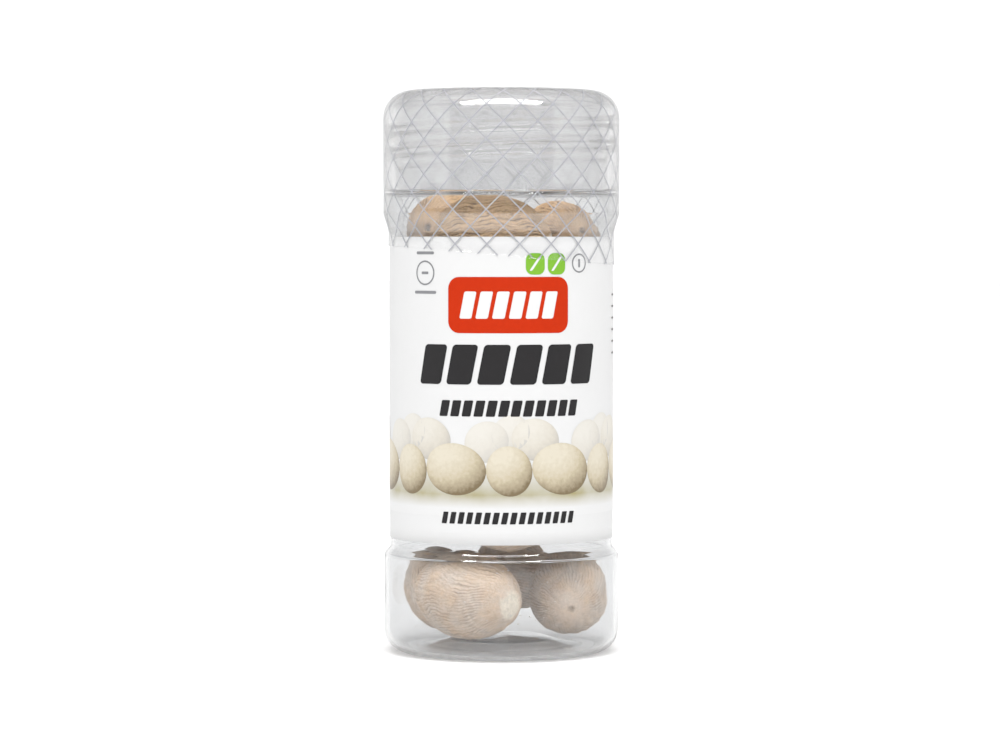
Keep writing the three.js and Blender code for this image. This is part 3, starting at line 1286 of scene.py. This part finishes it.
@dataclass
class Nutmeg:
    """One nutmeg, fitted to its CAD node.

    Attributes:
        node: The CAD node's name.
        detail: The icosphere's subdivision level.
        bloom: How powdery its skin is, from 0 to 1.
        seed: What its own furrows and lumps start from.
        furrows: How many furrows run from end to end.
        twist: How far the furrows turn between the middle and an end, in radians.
        taper: How much narrower it is at the stem end.
        groove_depth: How deep the groove along one side is.
        groove_half_angle: How far round that groove reaches, in radians.
        scar_radius: The stem scar's radius.
        furrow_depth: How deep its furrows are.
        fold_depth: How deep its broad folds are.
        lump_depth: How lumpy it is.
        centre: Its middle, found from its node.
        turn: How it is turned, found from its node.
        half_length: Half its length, found from its node.
        half_width: Half its width, found from its node.
    """

    node: str
    detail: int
    bloom: float
    seed: int
    furrows: int = 62
    twist: float = 0.3
    taper: float = 0.07
    groove_depth: float = 0.5
    groove_half_angle: float = 0.3
    scar_radius: float = 2.6
    furrow_depth: float = 0.11
    fold_depth: float = 0.14
    lump_depth: float = 0.32
    centre: Vector = field(default_factory=Vector)
    turn: Matrix = field(default_factory=Matrix)
    half_length: float = 11.0
    half_width: float = 8.7

    def fit(self) -> None:
        """Finds the node's centre, axis, groove and sizes from its mesh."""
        places = np.array([vert.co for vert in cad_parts[self.node].data.vertices]) / MM
        places = np.unique(places.round(3), axis=0)
        middle = places.mean(axis=0)
        axis = np.linalg.svd(places - middle, full_matrices=False)[2][0]
        along = (places - middle) @ axis
        if (along > along.max() - 0.3).sum() < (along < along.min() + 0.3).sum():
            axis, along = -axis, -along
        scar = places[along > along.max() - 0.3].mean(axis=0)
        tip = places[along.argmin()]
        axis = (scar - tip) / np.linalg.norm(scar - tip)
        self.half_length = float(np.linalg.norm(scar - tip)) / 2 + 0.1
        centre = tip + axis * self.half_length
        offsets = places - centre
        heights = offsets @ axis
        spokes = offsets - np.outer(heights, axis)
        widths = np.linalg.norm(spokes, axis=1)
        self.half_width = float(widths.max())
        belt = np.abs(heights) < self.half_length * 0.2
        groove = spokes[belt][widths[belt].argmin()]
        groove /= np.linalg.norm(groove)
        across = np.cross(axis, groove)
        self.centre = Vector(centre)
        self.turn = Matrix((groove, across, axis)).transposed().to_4x4()

    def _furrows(self, place: Vector, angle: float, shift: Vector) -> float:
        """How deep in a furrow a place on the skin is, from 0 to 1."""
        slant = 0.22 * noise.noise(place * 0.12 + shift) + self.twist * place.z / self.half_length
        broad = noise.noise(place * 0.22 + shift)
        small = noise.noise(place * 0.9 - shift)
        across = self.furrows * (angle + slant) / (2 * math.pi) + 1.0 * broad + 0.35 * small
        beside = abs(across - math.floor(across) - 0.5) * 2
        strong = 0.3 + 0.7 * smooth(-0.2, 0.3, noise.noise(place * 0.35 - shift * 2))
        along = 1.9 * across + 1.1 * noise.noise(place * 0.45 + shift * 3)
        fine = abs(along - math.floor(along) - 0.5) * 2
        broken = smooth(-0.25, 0.2, noise.noise(place * 0.7 + shift * 4))
        return max(strong * smooth(0.5, 1.0, beside), 0.6 * broken * smooth(0.5, 1.0, fine))

    def _folds(self, place: Vector, angle: float, shift: Vector) -> float:
        """How deep between two of the skin's broad folds a place is, from 0 to 1."""
        sway = 0.9 * noise.noise(place * 0.15 + shift * 5)
        across = self.furrows / 5 * (angle + sway) / (2 * math.pi) + 0.6 * noise.noise(place * 0.4 - shift)
        return 0.5 - 0.5 * math.cos(2 * math.pi * across)

    def _shape(self, way: Vector, shift: Vector) -> tuple[Vector, Vector]:
        """Where a direction from the centre meets the skin.

        Args:
            way: The direction, in the nutmeg's own frame.
            shift: What sets this nutmeg's noise apart.

        Returns:
            The place, and its furrow, scar and tint marks.
        """
        turn = math.acos(max(-1.0, min(1.0, way.z)))
        angle = math.atan2(way.y, way.x)
        narrowing = (1 - self.taper * (1 + math.cos(turn)) / 2) / (1 - self.taper / 2)
        belly = self.half_width * math.sin(turn) * narrowing
        place = Vector((belly * math.cos(angle), belly * math.sin(angle), self.half_length * math.cos(turn)))
        squared = self.half_width**2
        outwards = Vector((place.x / squared, place.y / squared, place.z / self.half_length**2))
        outwards.normalize()
        middle = 1 - (place.z / self.half_length) ** 2
        groove_angle = angle + 0.08 * noise.noise(place * 0.4 + shift)
        dip = self.groove_depth * math.exp(-((groove_angle / self.groove_half_angle) ** 2)) * middle
        crease = math.exp(-((groove_angle / 0.05) ** 2)) * middle
        lumps = self.lump_depth * (noise.noise(place * 0.13 + shift) - 0.45)
        furrow = self._furrows(place, angle, shift) * smooth(0.0, 0.25, middle)
        fold = self._folds(place, angle, shift) * smooth(0.0, 0.4, middle)
        spread = place.xy.length + 0.5 * noise.noise(place * 0.6 + shift)
        spread += 0.3 * noise.noise(place * 1.8 + shift)
        is_top = place.z > 0
        scar = smooth(self.scar_radius + 0.5, self.scar_radius - 0.6, spread) * is_top
        rim = math.exp(-(((spread - self.scar_radius - 0.4) / 0.4) ** 2)) * is_top
        pit = smooth(1.0, 0.2, (place - Vector((1.3, 0.0, -self.half_length))).length)
        lines = (self.furrow_depth * furrow + self.fold_depth * fold) * (1 - 0.8 * scar)
        depth = dip + 0.12 * crease + lines + 0.4 * pit - 0.1 * rim
        place = place + outwards * (lumps - depth)
        if is_top:
            lid = self.half_length - 0.5 + 0.3 * noise.noise(place * 0.9 + shift)
            place.z += (min(place.z, lid) - place.z) * scar
        # Tone: a random tint, with painted shade that darkens the pit, the groove's crease and the broad
        # folds; the pit also takes the dark furrow colour as painted shade.
        shade = 1.02 + 0.09 * noise.noise(place * 0.11 + shift * 2) - 0.25 * pit - 0.12 * crease - 0.08 * fold
        return place, Vector((max(furrow, 0.8 * pit) * (1 - scar), 0.92 * scar, shade))

    def build(self, material: bpy.types.Material) -> bpy.types.Object:
        """Builds the nutmeg."""
        self.fit()
        chance = random.Random(self.seed)
        shift = Vector((chance.uniform(20, 90), chance.uniform(20, 90), chance.uniform(20, 90)))
        tint = chance.uniform(0.95, 1.04)
        bm = bmesh.new()
        marks = bm.verts.layers.float_vector.new("marks")
        bloom = bm.verts.layers.float.new("bloom")
        bmesh.ops.create_icosphere(bm, subdivisions=self.detail, radius=1.0)
        for vert in bm.verts:
            vert.co, mark = self._shape(vert.co.normalized(), shift)
            mark.z *= tint
            vert[marks] = mark
            vert[bloom] = self.bloom
        bmesh.ops.transform(bm, matrix=Matrix.Translation(self.centre) @ self.turn, verts=bm.verts)
        name = self.node.replace("nutmeg", "whole_nutmeg")
        return publish(name, bm, [material], [self.node])


@dataclass
class NutmegStack:
    """All the nutmegs. Those at the bottom and the top show, so they are made finer.

    Attributes:
        fine_detail: The subdivision level of those that show.
        plain_detail: The subdivision level of the others.
        label_bottom: The height of the label's lower edge.
        label_top: The height of the label's upper edge.
        below: How far under the label one has to reach to count as low.
        above: How far over the label one has to reach to count as high.
        bloom: How powdery they are.
        high_bloom: How powdery the high ones are.
        high_furrows: How many furrows the high ones have.
        high_furrow_depth: How deep those furrows are.
        first_seed: What the first one's furrows and lumps start from.
    """

    fine_detail: int = 7
    plain_detail: int = 6
    below: float = 5.0
    above: float = 3.0
    bloom: float = 0.8
    high_bloom: float = 0.1
    high_furrows: int = 46
    high_furrow_depth: float = 0.2
    first_seed: int = 3
    label_bottom: float = field(default_factory=lambda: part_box("label")[0].z / MM)
    label_top: float = field(default_factory=lambda: node_top("label"))

    def build(self, material: bpy.types.Material) -> None:
        """Builds every nutmeg."""
        nodes = sorted(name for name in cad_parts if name.startswith("nutmeg"))
        for seed, node in enumerate(nodes, self.first_seed):
            low, high = (corner.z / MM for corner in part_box(node))
            is_low = low < self.label_bottom - self.below
            is_high = high > self.label_top + self.above
            detail = self.fine_detail if is_low or is_high else self.plain_detail
            nutmeg = Nutmeg(node, detail, self.bloom, seed)
            if is_high:
                nutmeg.bloom = self.high_bloom
                nutmeg.furrows = self.high_furrows
                nutmeg.furrow_depth = self.high_furrow_depth
            nutmeg.build(material)


@dataclass
class NutmegDust:
    """Fine crumbs of nutmeg on the floor and on the inside of the base bulge.

    Attributes:
        wall: The inner radius of the base bulge.
        floor: The height that the lower crumbs lie at.
        on_wall: How many crumbs cling to the wall.
        on_floor: How many lie on the floor.
        seed: What the crumbs' places and sizes start from.
        smallest: The smallest crumb's radius.
        spread: How much larger the largest one is.
        wall_turn: Where on the wall most of them cling, in degrees from the front towards +X.
        wall_scatter: How far they scatter round that, in degrees.
        wall_low: The height where those on the wall start.
        wall_high: The height where they end.
        reach: How far from the axis those on the floor lie at most.
    """

    wall: float = field(default_factory=lambda: node_radius("jar") - Jar.wall)
    floor: float = 1.0
    on_wall: int = 70
    on_floor: int = 110
    seed: int = 11
    smallest: float = 0.08
    spread: float = 0.16
    wall_turn: float = 9.0
    wall_scatter: float = 16.0
    wall_low: float = 6.5
    wall_high: float = 18.2
    reach: float = 17.6

    def build(self, material: bpy.types.Material) -> bpy.types.Object:
        """Builds the crumbs as one piece."""
        chance = random.Random(self.seed)
        bm = bmesh.new()
        for index in range(self.on_wall + self.on_floor):
            size = self.smallest + self.spread * chance.random() ** 3
            if index < self.on_wall:
                angle = math.radians(chance.gauss(self.wall_turn, self.wall_scatter))
                radius = self.wall - size * 0.6
                height = chance.uniform(self.wall_low, self.wall_high)
            else:
                angle = chance.uniform(-math.pi, math.pi)
                radius = self.reach * math.sqrt(chance.uniform(0.55, 1.0))
                height = self.floor + size * 0.5
            width = size * chance.uniform(0.5, 1.0)
            thickness = size * chance.uniform(0.4, 0.8)
            squash = Matrix.Diagonal((size, width, thickness, 1.0))
            place = Matrix.Translation((radius * math.sin(angle), -radius * math.cos(angle), height))
            tilt = Matrix.Rotation(chance.uniform(0, math.pi), 4, "Z")
            bmesh.ops.create_icosphere(bm, subdivisions=1, radius=1.0, matrix=place @ tilt @ squash)
        return publish("nutmeg_dust", bm, [material])


# --------------------------------------------------------------------------------------------------
# Studio
# --------------------------------------------------------------------------------------------------


@dataclass
class Studio:
    """A white floor, soft light and the camera.

    Attributes:
        distance: The camera's distance from the jar's axis.
        eye: The camera's height.
        aim: Where the camera looks, across and up.
        lens: Its focal length, on a sensor 36 mm wide.
        seen_level: How bright the room behind the jar looks.
        light_level: How strongly the room lights things.
        front_level: How bright the room and floor in front look in gloss.
        front_half_angle: How far round from the front that dim part reaches, in degrees.
        backdrop_top: How high up the bright backdrop reaches, in degrees.
        overhead_start: How high up the dimmer ceiling is full, in degrees.
        overhead_level: How bright the ceiling looks through the jar.
        side_level: How bright the sides look through the jar.
        lamp_place: Where both lamps hang.
        key_power: The soft lamp's power.
        strip_power: The power of the strip lamp, which only gloss shows.
        floor_glow: How strongly the floor shines by itself.
        floor_seen: How far in front of the jar gloss shows the floor as bright.
        floor_bent: How bright the floor looks through or in the jar.
        gamma: The picture's gamma.
    """

    distance: float = 0.660
    eye: float = 0.0783
    aim: tuple[float, float] = (-0.00025, 0.0526)
    lens: float = 124.85
    seen_level: float = 1.15
    light_level: float = 0.95
    front_level: float = 0.07
    front_half_angle: float = 52.0
    backdrop_top: float = 9.0
    overhead_start: float = 26.0
    overhead_level: float = 0.5
    side_level: float = 0.92
    lamp_place: tuple[float, float, float] = (0.0, -0.53, 0.908)
    key_power: float = 5.0
    strip_power: float = 38.0
    floor_glow: float = 0.15
    floor_seen: float = 0.2
    floor_bent: float = 0.88
    gamma: float = 1.2

    def _camera(self) -> None:
        """Sets the camera."""
        data = bpy.data.cameras.new("camera")
        data.lens = self.lens
        data.sensor_width = 36.0
        data.clip_start = 0.01
        camera = bpy.data.objects.new("camera", data)
        camera.location = (0.0, -self.distance, self.eye)
        way = Vector((self.aim[0], 0.0, self.aim[1])) - camera.location
        camera.rotation_euler = way.to_track_quat("-Z", "Y").to_euler()
        bpy.context.scene.collection.objects.link(camera)
        bpy.context.scene.camera = camera

    def _floor(self, effects: Effects) -> None:
        """Lays the floor."""
        bm = bmesh.new()
        bmesh.ops.create_grid(bm, x_segments=8, y_segments=8, size=6.0)
        mesh = bpy.data.meshes.new("floor")
        bm.to_mesh(mesh)
        bm.free()
        material, tree, shader, place = new_material("white_floor")
        patches = {"Vector": place, "Scale": 3.0, "Detail": 2.0, "Low": 0.96, "High": 0.98}
        tone = tree.group(effects.mottle, patches).outputs["Value"]
        forward = tree.add("ShaderNodeSeparateXYZ", {0: place}).outputs[1]
        near_edge = tree.span(forward, -self.floor_seen - 0.04, -self.floor_seen, 1.0, 0.0)
        ray = tree.add("ShaderNodeLightPath").outputs
        mirrored = tree.math("SUBTRACT", ray["Is Reflection Ray"], ray["Is Diffuse Ray"])
        level = tree.span(tree.math("MULTIPLY", near_edge, mirrored), 0.0, 1.0, 1.0, self.front_level)
        lighting = tree.math("MINIMUM", ray["Diffuse Depth"], 1.0)
        bent = tree.math("SUBTRACT", tree.math("SUBTRACT", 1.0, ray["Is Camera Ray"]), lighting)
        level = tree.math("MULTIPLY", level, tree.span(bent, 0.0, 1.0, 1.0, self.floor_bent))
        colour = tree.blend(1.0, (1.0, 1.0, 1.0), tree.math("MULTIPLY", tone, level), "MULTIPLY")
        tree.tree.links.new(colour, shader.inputs["Base Color"])
        tree.tree.links.new(colour, shader.inputs["Emission Color"])
        shader.inputs["Roughness"].default_value = 0.9
        shader.inputs["Emission Strength"].default_value = self.floor_glow
        mesh.materials.append(material)
        floor = bpy.data.objects.new("floor", mesh)
        bpy.context.scene.collection.objects.link(floor)

    def _lamp(
        self, name: str, place: Sequence[float], size: tuple[float, float], power: float
    ) -> bpy.types.Object:
        """Hangs a soft box that faces the jar.

        Args:
            name: Its name.
            place: Where it hangs.
            size: Its width and height.
            power: Its power in watts.

        Returns:
            The lamp.
        """
        data = bpy.data.lights.new(name, "AREA")
        data.shape = "RECTANGLE"
        data.size, data.size_y = size
        data.energy = power
        lamp = bpy.data.objects.new(name, data)
        lamp.location = place
        way = Vector((0.0, 0.0, 0.06)) - Vector(place)
        lamp.rotation_euler = way.to_track_quat("-Z", "Y").to_euler()
        bpy.context.scene.collection.objects.link(lamp)
        return lamp

    def _world(self) -> None:
        """Surrounds the jar with white, dimmer above and beside when bent, and dim in front in gloss."""
        world = bpy.data.worlds.new("white_room")
        world.use_nodes = True
        bpy.context.scene.world = world
        tree = Tree(world.node_tree)
        way = tree.add("ShaderNodeTexCoord").outputs["Generated"]
        across = tree.add("ShaderNodeVectorMath", {0: way, 1: (1.0, 1.0, 0.0)}, operation="MULTIPLY")
        flat = tree.add("ShaderNodeVectorMath", {0: across.outputs[0]}, operation="NORMALIZE").outputs[0]
        facing = tree.add("ShaderNodeVectorMath", {0: flat, 1: (0.0, -1.0, 0.0)}, operation="DOT_PRODUCT")
        edge = math.cos(math.radians(self.front_half_angle))
        in_front = tree.span(facing.outputs["Value"], edge - 0.04, edge + 0.04, 0.0, 1.0)
        ray = tree.add("ShaderNodeLightPath")
        mirrored = tree.math("SUBTRACT", ray.outputs["Is Reflection Ray"], ray.outputs["Is Diffuse Ray"])
        share = tree.math("MULTIPLY", in_front, tree.math("MAXIMUM", mirrored, 0.0))
        lighting = tree.math("MINIMUM", ray.outputs["Diffuse Depth"], 1.0)
        rise = tree.add("ShaderNodeSeparateXYZ", {0: way}).outputs[2]
        low, high = (math.sin(math.radians(angle)) for angle in (self.backdrop_top, self.overhead_start))
        overhead = tree.span(rise, low, high, 0.0, 1.0)
        beside = tree.span(facing.outputs["Value"], -0.8, -0.4, 0.0, 1.0)
        bent = tree.math("SUBTRACT", 1.0, ray.outputs["Is Camera Ray"])
        seen = tree.blend(tree.math("MULTIPLY", beside, bent), (self.seen_level,) * 3, (self.side_level,) * 3)
        seen = tree.blend(tree.math("MULTIPLY", overhead, bent), seen, (self.overhead_level,) * 3)
        level = tree.blend(lighting, seen, (self.light_level,) * 3)
        colour = tree.blend(share, level, (self.front_level,) * 3)
        tree.tree.links.new(colour, world.node_tree.nodes["Background"].inputs["Color"])

    def build(self, effects: Effects) -> None:
        """Sets up the studio."""
        self._camera()
        self._floor(effects)
        self._world()
        self._lamp("key", self.lamp_place, (0.69, 0.42), self.key_power)
        strip = self._lamp("strip", self.lamp_place, (1.2, 0.2), self.strip_power)
        strip.visible_diffuse = False
        scene = bpy.context.scene
        scene.view_settings.view_transform = "Standard"
        scene.view_settings.gamma = self.gamma
        scene.cycles.max_bounces = 24
        scene.cycles.transmission_bounces = 24
        scene.cycles.transparent_max_bounces = 24
        scene.cycles.glossy_bounces = 8


@dataclass
class Palette:
    """The label's inks and paper, and the band's ink."""

    paper: Ink = Ink("label_paper", srgb(213, 213, 213), 0.45, 0.01)
    red: Ink = Ink("red_ink", srgb(184, 34, 2))
    green: Ink = Ink("green_ink", srgb(110, 168, 44))
    black: Ink = Ink("black_ink", srgb(34, 33, 34))
    grey: Ink = Ink("grey_ink", srgb(120, 121, 124))
    white: Ink = Ink("white_ink", srgb(218, 218, 218), 0.42, 0.01)
    lattice: Ink = Ink("lattice_ink", srgb(160, 161, 168), 0.35, 0.06)
    dust: Ink = Ink("nutmeg_dust", srgb(226, 220, 212), 0.9, 0.15)


def main() -> None:
    """Builds the jar, its contents and the studio."""
    logging.basicConfig(level=logging.INFO, format="%(name)s: %(message)s")
    effects = Effects()
    palette = Palette()
    # The jar: its tint and rim tint are greyed as painted shade, and its thread ridges are painted lighter as
    # painted light.
    clear = ClearPlastic(
        name="clear_plastic",
        tint=(0.83, 0.835, 0.84),
        ridge_painted_light_tint=(1.0, 1.0, 1.0),
        rim_painted_shading_tint=(0.62, 0.625, 0.63),
        clearness=1.0,
        smoothest=0.0,
        dullest=0.03,
        frost=0.15,
        frost_top=0.002,
    ).make(effects)
    # The cap: its tint greys its middle as painted shade, and its sides and thread ridges stay lighter as
    # painted light.
    cloudy = ClearPlastic(
        name="cloudy_plastic",
        tint=(0.935, 0.935, 0.94),
        ridge_painted_light_tint=(1.0, 1.0, 1.0),
        rim_painted_shading_tint=(1.0, 1.0, 1.0),
        clearness=0.92,
        smoothest=0.035,
        dullest=0.07,
    ).make(effects)
    Studio().build(effects)
    Jar().build(clear)
    Cap().build(cloudy)
    ShrinkBand().build(Film().make(effects), palette.lattice.make(effects))
    label = Label()
    ground = GroundPrint(
        "ground_print", srgb(146, 136, 84), srgb(213, 213, 213), label.ground_line * MM, 0.0025, 0.0055
    )
    inks = [
        palette.red.make(effects),
        palette.green.make(effects),
        palette.black.make(effects),
        palette.grey.make(effects),
        palette.white.make(effects),
        OvalPrint().make(effects),
        ground.make(effects),
    ]
    label.build(palette.paper.make(effects), inks)
    NutmegStack().build(NutmegShell().make(effects))
    NutmegDust().build(palette.dust.make(effects))


if __name__ == "__main__":
    main()
